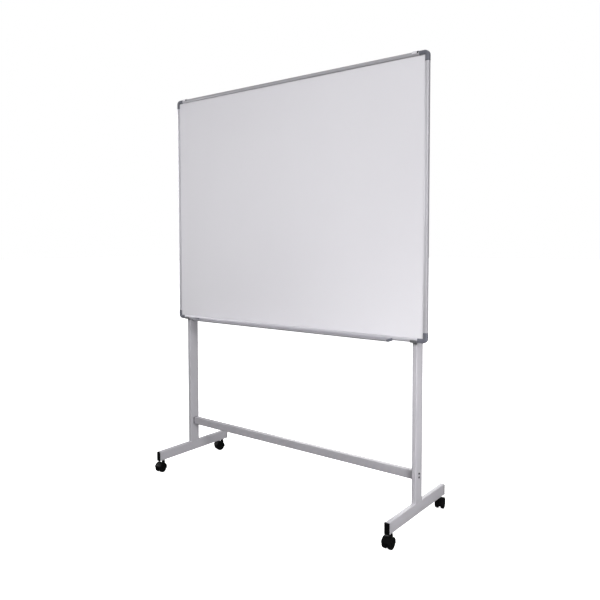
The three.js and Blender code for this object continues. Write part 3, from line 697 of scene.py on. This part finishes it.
# --------------------------------------------------------------------------
# Stand
# --------------------------------------------------------------------------
for side, sx in (("left", -1), ("right", 1)):
    # upright
    lo, hi = bx("upright_" + side)
    X = (lo.x + hi.x) / 2
    bm = bmesh.new()
    tube(bm, hi.x - lo.x, hi.y - lo.y, 2.5, 1.5, lo.z, hi.z, lambda u, v, s: (X + u, v, s))
    piece(f"upright_{side}_tube", finish_mesh(bm, "upright_" + side), "stand", "paint", ["upright_" + side])
    top = hi.z

    # weld fillets where the upright's narrow faces meet the foot
    foot_lo, foot_hi = bx("foot_" + side)
    for face, sy in (("front", -1), ("rear", 1)):
        bm = bmesh.new()
        rings = []
        count = 33
        for i in range(count):
            t = -8.8 + 17.6 * i / (count - 1)
            end = min(1.0, (8.8 - abs(t)) / 1.8)
            size = (2.5 + 0.22 * math.cos(i * math.pi / 2.0)) * (0.45 + 0.55 * math.sqrt(max(0.0, end)))
            ring = [(X + t, sy * (29.4), foot_hi.z - 0.4), (X + t, sy * (30.0 + size), foot_hi.z - 0.4)]
            for k in range(1, 6):
                a = math.pi / 2 * k / 6
                bulge = 0.62 + 0.10 * math.sin(2 * a)
                ring.append((X + t, sy * (30.0 + size * math.cos(a) * (0.55 + 0.45 * bulge)), foot_hi.z + size * math.sin(a) * (0.55 + 0.45 * bulge)))
            ring.append((X + t, sy * 29.4, foot_hi.z + size))
            rings.append(ring)
        loft(bm, rings)
        piece(f"weld_{face}_{side}", finish_mesh(bm, "weld", 60.0), "stand", "paint")

    # cap in the upright's head
    clo, chi = bx("upright_cap_" + side)
    bm = bmesh.new()
    rings = []
    for w, h, r, z in ((16.4, 56.4, 1.0, clo.z), (16.6, 56.6, 1.0, top - 0.05), (20.0, 60.0, 2.5, top + 0.02), (20.0, 60.0, 2.5, chi.z - 0.9), (19.4, 59.4, 2.3, chi.z - 0.3), (18.2, 58.2, 2.0, chi.z)):
        rings.append([(X + u, v, z) for u, v in round_rect(w, h, r, 5)])
    loft(bm, rings)
    piece(f"upright_cap_{side}_moulding", finish_mesh(bm, "upright_cap"), "stand", "cap", ["upright_cap_" + side])

    # foot: a tube
    bm = bmesh.new()
    fw, fh = foot_hi.x - foot_lo.x, foot_hi.z - foot_lo.z
    fz = (foot_hi.z + foot_lo.z) / 2
    tube(bm, fw, fh, 2.5, 1.5, foot_lo.y, foot_hi.y, lambda u, v, s: (X + u, s, fz + v))
    piece(f"foot_{side}_tube", finish_mesh(bm, "foot_" + side), "stand", "paint", ["foot_" + side])

    # end plugs
    for end, sy in (("front", -1), ("rear", 1)):
        node = f"foot_plug_{end}_{side}"
        plo, phi = bx(node)
        y_out = plo.y if sy < 0 else phi.y
        y_in = y_out - sy * 12.0
        y_seat = y_out - sy * 3.0
        bm = bmesh.new()
        rings = []
        for w, h, r, y in (
            (15.6, 45.6, 1.2, y_in),
            (16.6, 46.6, 1.2, y_in + sy * 1.2),
            (16.6, 46.6, 1.2, y_seat - sy * 0.02),
            (24.0, 50.0, 2.5, y_seat + sy * 0.02),  # the head laps over the tube's sides
            (24.0, 50.0, 2.5, y_out - sy * 1.2),
            (23.6, 49.6, 2.6, y_out - sy * 0.5),
            (22.6, 48.6, 2.6, y_out - sy * 0.1),
            (21.4, 47.4, 2.6, y_out),
            (19.0, 45.0, 2.2, y_out),
            (18.4, 44.4, 2.0, y_out - sy * 0.45),
            (16.0, 42.0, 1.6, y_out - sy * 0.55),
        ):
            rings.append([(X + u, y, fz + v) for u, v in round_rect(w, h, r, 5)])
        loft(bm, rings)
        piece(f"foot_plug_{end}_{side}_moulding", finish_mesh(bm, "foot_plug"), "stand", "black", [node])

    # block in the crossbar's end
    node = "crossbar_end_" + side
    blo, bhi = bx(node)
    inner_x = X - sx * 10.0
    bz = (blo.z + bhi.z) / 2
    bm = bmesh.new()
    rings = []
    for w, h, r, d in ((21.6, 34.6, 1.0, 25.0), (21.6, 34.6, 1.0, 9.0), (22.4, 35.4, 1.4, 9.0), (23.6, 36.6, 1.8, 8.5), (23.6, 36.6, 1.8, 1.0), (22.8, 35.8, 1.5, 0.4), (21.8, 34.8, 1.2, 0.02)):
        rings.append([(inner_x - sx * d, u, bz + v) for u, v in round_rect(w, h, r, 5)])
    loft(bm, rings)
    piece(f"crossbar_end_{side}_block", finish_mesh(bm, "crossbar_end"), "stand", "end_block_painted_shade", [node])

    # button-head bolts with a hexagon socket
    for level in ("lower", "upper"):
        node = f"crossbar_bolt_{level}_{side}"
        qlo, qhi = bx(node)
        cz = (qlo.z + qhi.z) / 2
        outer = X + sx * 10.0
        seg = 30
        bm = bmesh.new()
        rings = []

        def ring(radius, x, hexagon=0.0):
            pts = []
            for i in range(seg):
                a = 2 * math.pi * i / seg
                rad = radius
                if hexagon:
                    k = (a % (math.pi / 3)) - math.pi / 6
                    rad = radius * (1 - hexagon) + hexagon * radius * math.cos(math.pi / 6) / math.cos(k)
                pts.append((outer + sx * x, rad * math.cos(a), cz + rad * math.sin(a)))
            return pts

        for radius, x, hexagon in ((2.7, -35.5, 0), (2.7, 0.05, 0), (4.7, 0.05, 0), (4.9, 0.25, 0), (4.9, 0.75, 0), (4.6, 1.35, 0), (4.0, 1.95, 0), (3.2, 2.45, 0), (2.5, 2.7, 0.3), (2.15, 2.75, 1.0), (2.05, 2.6, 1.0), (2.0, 1.2, 1.0)):
            rings.append(ring(radius, x, hexagon))
        loft(bm, rings)
        piece(f"crossbar_bolt_{level}_{side}_screw", finish_mesh(bm, "bolt", 30.0), "stand", "bolt", [node])


# crossbar
lo, hi = bx("crossbar")
bm = bmesh.new()
cz = (lo.z + hi.z) / 2
tube(bm, hi.y - lo.y, hi.z - lo.z, 2.2, 1.5, lo.x, hi.x, lambda u, v, s: (s, u, cz + v))
piece("crossbar_tube", finish_mesh(bm, "crossbar"), "stand", "paint_bar_painted_shade", ["crossbar"])


# --------------------------------------------------------------------------
# Hooks over the frame, clips under it, and their rivets
# --------------------------------------------------------------------------
def strip(name, path, widths, thickness, cx, body, mat, node, bend=2.2, offsets=None):
    """A bent strap in the plane of Y and Z: path is its middle line.

    offsets shift the strap sideways at each point of the path."""
    offsets = offsets or [0.0] * len(path)
    pts = [Vector(p) for p in path]
    line, wide, shift = [pts[0]], [widths[0]], [offsets[0]]
    for k in range(1, len(pts) - 1):
        p, a, b = pts[k], pts[k - 1] - pts[k], pts[k + 1] - pts[k]
        angle = a.angle(b)
        if angle > math.radians(176):
            line.append(p)
            wide.append(widths[k])
            shift.append(offsets[k])
            continue
        t = min(bend / math.tan(angle / 2), a.length * 0.45, b.length * 0.45)
        r = t * math.tan(angle / 2)
        s = p + a.normalized() * t
        e = p + b.normalized() * t
        c = p + (a.normalized() + b.normalized()).normalized() * (r / math.sin(angle / 2))
        va, vb = s - c, e - c
        sweep = va.angle(vb)
        sign = 1 if va.x * vb.y - va.y * vb.x > 0 else -1
        for i in range(7):
            q = sign * sweep * i / 6
            line.append(Vector((c.x + va.x * math.cos(q) - va.y * math.sin(q), c.y + va.x * math.sin(q) + va.y * math.cos(q))))
            wide.append(widths[k])
            shift.append(offsets[k])
    line.append(pts[-1])
    wide.append(widths[-1])
    shift.append(offsets[-1])
    rings = []
    for k, p in enumerate(line):
        if k == 0:
            d = line[1] - line[0]
        elif k == len(line) - 1:
            d = line[-1] - line[-2]
        else:
            d = (line[k + 1] - p).normalized() + (p - line[k - 1]).normalized()
        d = d.normalized()
        nrm = Vector((-d.y, d.x))
        ring = []
        for u, v in round_rect(wide[k], thickness, 0.45, 3):
            q = p + nrm * v
            ring.append((cx + shift[k] + u, q.x, q.y))
        rings.append(ring)
    bm = bmesh.new()
    loft(bm, rings)
    piece(name, finish_mesh(bm, name, 40.0), body, mat, [node])


def dome(name, node, mat, body="stand", spread=0.0):
    lo, hi = bx(node)
    cx, cz = (lo.x + hi.x) / 2, (lo.z + hi.z) / 2
    y0, depth = lo.y, hi.y - lo.y
    prof = [(0, depth), (1.3, depth), (1.6, depth - 0.4), (1.6, 1.85), (2.9, 1.85), (3.1, 1.6), (3.05, 1.1), (2.7, 0.62), (2.1, 0.25), (1.4, 0.06), (0.8, 0.0), (0, 0.0)]
    prof = [(u + spread if u > 2.0 else u, v) for u, v in prof]
    bm = bmesh.new()
    lathe(bm, prof, 28, lambda u, v, h: (cx + u, y0 + h, cz + v))
    piece(name, finish_mesh(bm, name, 34.0), body, mat, [node])


for side, sx in (("left", -1), ("right", 1)):
    lo, hi = bx("top_hook_" + side)
    post_lo, post_hi = bx("upright_" + side)
    post = (post_lo.x + post_hi.x) / 2
    X = (lo.x + hi.x) / 2
    off = post - X
    zt = hi.z - 0.95
    front = lo.y + 0.95
    w, tab = hi.x - lo.x, 18.0
    strip(
        f"top_hook_{side}_strap",
        [(front, lo.z + 0.2), (front, zt), (-33.0, zt), (-29.0, zt), (-26.4, zt - 1.95), (hi.y - 0.3, zt - 1.95)],
        [w, w, w, tab + 3, tab, tab],
        1.8, X, "stand", "paint_hook_painted_light", "top_hook_" + side, 1.8, [0, 0, 0, off * 0.6, off, off],
    )
    lo, hi = bx("bottom_clip_" + side)
    front = lo.y + 0.95
    zp = 803.8
    strip(
        f"bottom_clip_{side}_strap",
        [(front, hi.z - 0.2), (front, zp), (-36.0, zp), (-31.15, zp), (-31.15, lo.z + 0.2)],
        [w, w, w, tab, tab],
        1.8, X, "stand", "zinc", "bottom_clip_" + side, 1.8,
    )
    dome(f"top_hook_rivet_{side}_head", "top_hook_rivet_" + side, "bolt", spread=1.1)
    dome(f"bottom_clip_rivet_{side}_head", "bottom_clip_rivet_" + side, "zinc")


# --------------------------------------------------------------------------
# Casters
# --------------------------------------------------------------------------
joints = {j["name"]: j for j in frame["joints"]}


def apply_modifiers(o):
    dg = bpy.context.evaluated_depsgraph_get()
    me = bpy.data.meshes.new_from_object(o.evaluated_get(dg))
    bpy.data.objects.remove(o)
    return me


def temp(bm, name):
    bmesh.ops.recalc_face_normals(bm, faces=bm.faces)
    me = bpy.data.meshes.new(name)
    bm.to_mesh(me)
    bm.free()
    o = bpy.data.objects.new(name, me)
    bpy.context.scene.collection.objects.link(o)
    return o


def boolean(a, b, operation):
    m = a.modifiers.new("b", "BOOLEAN")
    m.operation = operation
    m.solver = "EXACT"
    m.object = b
    bpy.context.view_layer.update()
    me = apply_modifiers(a)
    bpy.data.objects.remove(b)
    o = bpy.data.objects.new("made", me)
    bpy.context.scene.collection.objects.link(o)
    return o


TRAIL, WR = 19.5, 24.0
HOOD_R, HOOD_CLEAR = 27.0, 25.3
A0, A1 = 12, 196


def prism(outline, half):
    bm = bmesh.new()
    loft(bm, [[(x, y, z) for x, z in outline] for y in (half, -half)])
    return temp(bm, "prism")


def arc(r, a0, a1, n):
    return [(TRAIL + r * math.cos(math.radians(a0 + (a1 - a0) * i / n)), WR + r * math.sin(math.radians(a0 + (a1 - a0) * i / n))) for i in range(n + 1)]


def caster_housing_mesh():
    """Hood, web and stem socket moulded in one."""
    hood = prism(arc(HOOD_R, A0, A1, 56) + arc(HOOD_CLEAR, A1, A0, 56), 19.2)
    web_outline = arc(HOOD_R - 0.6, A0 + 1, A1 - 1, 56)
    web_outline += [(TRAIL - 6.0, WR - 5.6), (TRAIL - 3.4, WR - 7.0), (TRAIL, WR - 7.5), (TRAIL + 3.4, WR - 7.0), (TRAIL + 6.0, WR - 5.6)]
    web = prism(web_outline, 4.7)
    boss_bm = bmesh.new()
    lathe(boss_bm, [(0, 29.0), (9.6, 29.0), (9.3, 40), (8.9, 50), (8.4, 54.6), (7.9, 55.3), (7.2, 55.5), (0, 55.5)], 40, lambda u, v, h: (u, v, h))
    boss = temp(boss_bm, "boss")
    cut_bm = bmesh.new()
    lathe(cut_bm, [(0, -30), (HOOD_CLEAR, -30), (HOOD_CLEAR, 30), (0, 30)], 96, lambda u, v, h: (TRAIL + u, h, WR + v))
    boss = boolean(boss, temp(cut_bm, "cut"), "DIFFERENCE")
    # the web and the stem socket are joined to the hood
    whole = boolean(hood, web, "UNION")
    whole = boolean(whole, boss, "UNION")
    bore = bmesh.new()
    lathe(bore, [(0, 31.0), (3.9, 31.0), (3.9, 60), (0, 60)], 28, lambda u, v, h: (u, v, h))
    whole = boolean(whole, temp(bore, "bore"), "DIFFERENCE")
    hole = bmesh.new()
    lathe(hole, [(0, -10), (3.15, -10), (3.15, 10), (0, 10)], 28, lambda u, v, h: (TRAIL + u, h, WR + v))
    whole = boolean(whole, temp(hole, "hole"), "DIFFERENCE")
    b = whole.modifiers.new("edges", "BEVEL")
    b.width = 0.55 * MM
    b.segments = 3
    b.limit_method = "ANGLE"
    b.angle_limit = math.radians(38)
    b.use_clamp_overlap = True
    me = apply_modifiers(whole)
    for p in me.polygons:
        p.use_smooth = True
    me.set_sharp_from_angle(angle=math.radians(42))
    return me


def wheel_mesh(sign):
    """Nylon wheel: crowned tread, rolled shoulder, dished side with a hub cap."""
    prof = [
        (0, 18.3), (3.0, 18.35), (5.4, 18.2), (6.3, 17.8), (6.6, 17.1), (7.1, 16.9), (7.8, 17.2), (9.0, 17.6), (14.5, 17.8), (16.2, 17.9),
        (17.0, 18.4), (17.6, 19.2), (18.3, 19.7), (19.3, 19.9), (21.2, 19.9), (22.3, 19.6), (23.1, 19.0), (23.6, 18.1), (23.82, 17.2),
        (23.55, 16.9), (23.55, 16.5), (23.86, 16.2), (23.97, 14.4), (24.0, 12.6), (23.97, 10.6), (23.86, 8.7), (23.6, 7.0), (23.0, 6.0), (22.0, 5.45),
        (20.0, 5.4), (3.4, 5.4), (3.4, 15.0), (0, 15.0),
    ]
    seg = 72
    bm = bmesh.new()
    lathe(bm, prof, seg, lambda u, v, h: (TRAIL + u, sign * h, WR + v))
    # shallow pockets between six spokes in the dished side
    bm.faces.ensure_lookup_table()
    picked = []
    for f in bm.faces:
        c = f.calc_center_median() / MM
        r = math.hypot(c.x - TRAIL, c.z - WR)
        if abs(c.y) > 16.5 and 9.2 < r < 14.4:
            a = math.degrees(math.atan2(c.z - WR, c.x - TRAIL)) % 60
            if 12.4 < a < 47.6:
                picked.append(f)
    if picked:
        made = bmesh.ops.inset_region(bm, faces=picked, thickness=0.55 * MM, depth=0.0, use_even_offset=True)
        top = [f for f in picked if f.is_valid]
        verts = {v for f in top for v in f.verts}
        for v in verts:
            v.co.y -= sign * 0.9 * MM
    return finish_mesh(bm, "wheel", 33.0)


def stem_mesh():
    prof = [(0, 32), (3.2, 32), (3.6, 32.5), (3.6, 50), (3.6, 56.0), (6.6, 56.0), (7.2, 56.25), (7.4, 56.8), (7.4, 57.5), (8.0, 57.8), (8.2, 58.2), (8.2, 59.3), (7.9, 59.7), (4.0, 59.7), (4.0, 74.6), (3.4, 75.4), (0, 75.4)]
    bm = bmesh.new()
    lathe(bm, prof, 36, lambda u, v, h: (u, v, h))
    return finish_mesh(bm, "stem", 34.0)


def axle_mesh():
    prof = [(0, -14.6), (2.6, -14.6), (3.0, -14.2), (3.0, 14.2), (2.6, 14.6), (0, 14.6)]
    bm = bmesh.new()
    lathe(bm, prof, 28, lambda u, v, h: (TRAIL + u, h, WR + v))
    return finish_mesh(bm, "axle", 34.0)


housing_me = caster_housing_mesh()
wheel_me = {"a": wheel_mesh(1), "b": wheel_mesh(-1)}
stem_me, axle_me = stem_mesh(), axle_mesh()

for corner in ("front_right", "rear_right", "front_left", "rear_left"):
    swivel = joints["swivel_" + corner]
    roll = joints["roll_a_" + corner]
    sx, sy = swivel["pos_m"][0], swivel["pos_m"][1]
    ang = math.atan2(roll["pos_m"][1] - sy, roll["pos_m"][0] - sx)
    place = Matrix.Translation((sx, sy, 0)) @ Matrix.Rotation(ang, 4, "Z")

    def placed(me, name):
        copy = me.copy()
        copy.name = name
        copy.transform(place)
        return copy

    body = "caster_" + corner
    piece(f"caster_housing_{corner}_moulding", placed(housing_me, "housing_" + corner), body, "black", ["caster_housing_" + corner])
    piece(f"caster_axle_{corner}_pin", placed(axle_me, "axle_" + corner), body, "steel", ["caster_axle_" + corner])
    for w in "ab":
        piece(f"caster_wheel_{w}_{corner}_tread", placed(wheel_me[w], f"wheel_{w}_{corner}"), f"wheel_{w}_{corner}", "tread", [f"caster_wheel_{w}_{corner}"])
    piece(f"caster_stem_{corner}_pin", placed(stem_me, "stem_" + corner), "stand", "black_steel", ["caster_stem_" + corner])


# --------------------------------------------------------------------------
# Floor, world and lights
# --------------------------------------------------------------------------
def make_stage():
    bm = bmesh.new()
    bmesh.ops.create_grid(bm, x_segments=1, y_segments=1, size=40.0)
    me = bpy.data.meshes.new("floor")
    bm.to_mesh(me)
    bm.free()
    floor = bpy.data.objects.new("floor", me)
    floor.location.z = -0.0005
    bpy.context.scene.collection.objects.link(floor)
    m = bpy.data.materials.new("pale_floor")
    m.use_nodes = True
    b = m.node_tree.nodes["Principled BSDF"]
    b.inputs["Base Color"].default_value = (0.93, 0.93, 0.93, 1)
    b.inputs["Roughness"].default_value = 0.9
    b.inputs["Specular IOR Level"].default_value = 0.1
    me.materials.append(m)
    b.inputs["Emission Color"].default_value = (1, 1, 1, 1)
    b.inputs["Emission Strength"].default_value = 0.88  # a back-lit floor, as in a product studio
    # its bounce and its reflection are part of the surround below the horizon
    floor.visible_diffuse = False
    floor.visible_glossy = False

    world = bpy.data.worlds.new("studio")
    world.use_nodes = True
    t = world.node_tree
    t.nodes.clear()
    out = t.nodes.new("ShaderNodeOutputWorld")
    # Soft surround: brightest overhead, dimmer towards the horizon
    coord = t.nodes.new("ShaderNodeTexCoord")
    sep = t.nodes.new("ShaderNodeSeparateXYZ")
    t.links.new(coord.outputs["Generated"], sep.inputs[0])
    lift = t.nodes.new("ShaderNodeMapRange")
    lift.inputs["From Min"].default_value = -1.0
    lift.inputs["From Max"].default_value = 1.0
    t.links.new(sep.outputs["Z"], lift.inputs["Value"])
    height = t.nodes.new("ShaderNodeValToRGB")
    stops = ((0.0, 0.240), (0.46, 0.195), (0.54, 0.231), (0.80, 0.281), (1.0, 0.302))
    while len(height.color_ramp.elements) < len(stops):
        height.color_ramp.elements.new(0.5)
    for e, (pos, v) in zip(height.color_ramp.elements, stops):
        e.position = pos
        e.color = (v, v, v, 1)
    t.links.new(lift.outputs[0], height.inputs["Fac"])
    lit = t.nodes.new("ShaderNodeBackground")
    lit.inputs["Color"].default_value = (0.985, 0.985, 1.0, 1)
    t.links.new(height.outputs[0], lit.inputs["Strength"])
    seen = t.nodes.new("ShaderNodeBackground")
    seen.inputs["Color"].default_value = (1, 1, 1, 1)
    seen.inputs["Strength"].default_value = 1.0
    path = t.nodes.new("ShaderNodeLightPath")
    mix = t.nodes.new("ShaderNodeMixShader")
    t.links.new(path.outputs["Is Camera Ray"], mix.inputs[0])
    t.links.new(lit.outputs[0], mix.inputs[1])
    t.links.new(seen.outputs[0], mix.inputs[2])
    t.links.new(mix.outputs[0], out.inputs[0])
    bpy.context.scene.world = world

    def place_light(o, at, aim):
        o.location = at
        o.rotation_euler = (Vector(aim) - Vector(at)).to_track_quat("-Z", "Y").to_euler()
        bpy.context.scene.collection.objects.link(o)

    def area(name, at, aim, size, power, spread=180, diffuse=True, glossy=True):
        data = bpy.data.lights.new(name, "AREA")
        data.shape = "RECTANGLE"
        data.size, data.size_y = size
        data.energy = power
        data.spread = math.radians(spread)
        o = bpy.data.objects.new(name, data)
        o.visible_diffuse = diffuse
        o.visible_glossy = glossy
        place_light(o, at, aim)

    def bank(name, at, energy, angle):
        data = bpy.data.lights.new(name, "SUN")
        data.energy = energy
        data.angle = math.radians(angle)
        place_light(bpy.data.objects.new(name, data), at, (0, 0, 0))

    bank("overhead", (0, 0, 4), 0.8, 50)
    bank("slanted", (2.0, -2.4, 4.4), 0.37, 36)

    area("key", (1.2, -3.7, 3.5), (0.0, 0, 1.40), (2.4, 2.4), 24.4, 90, glossy=False)
    area("key_box", (1.2, -3.7, 1.9), (0.3, 0, 1.40), (2.0, 1.6), 8.6, 90, diffuse=False)
    area("side", (2.35, -0.95, 0.60), (0.7, 0, 0.57), (0.6, 0.6), 3.0, 60, glossy=False)
    area("right", (4.0, -2.0, 2.8), (0.0, 0, 0.80), (1.2, 1.2), 10.8, 60, glossy=False)
    area("right_box", (4.0, -2.0, 1.30), (0.75, 0, 1.40), (0.8, 0.8), 2.0, 120, diffuse=False)
    area("fill", (-2.6, -3.4, 2.4), (-0.6, 0, 1.70), (1.6, 1.6), 1.5, 50, glossy=False)
    area("rear", (-2.4, 4.6, 1.9), (0.0, 0, 1.20), (2.6, 2.4), 24.0, 90)
    area("left_box", (-3.5, -0.55, 1.70), (0.0, -0.05, 1.50), (1.5, 1.9), 78.0, 180, diffuse=False)

    view = bpy.context.scene.view_settings
    view.view_transform = "Standard"
    view.look = "None"
    view.exposure = 0.0
    view.gamma = 1.0


make_stage()

bpy.context.view_layer.update()
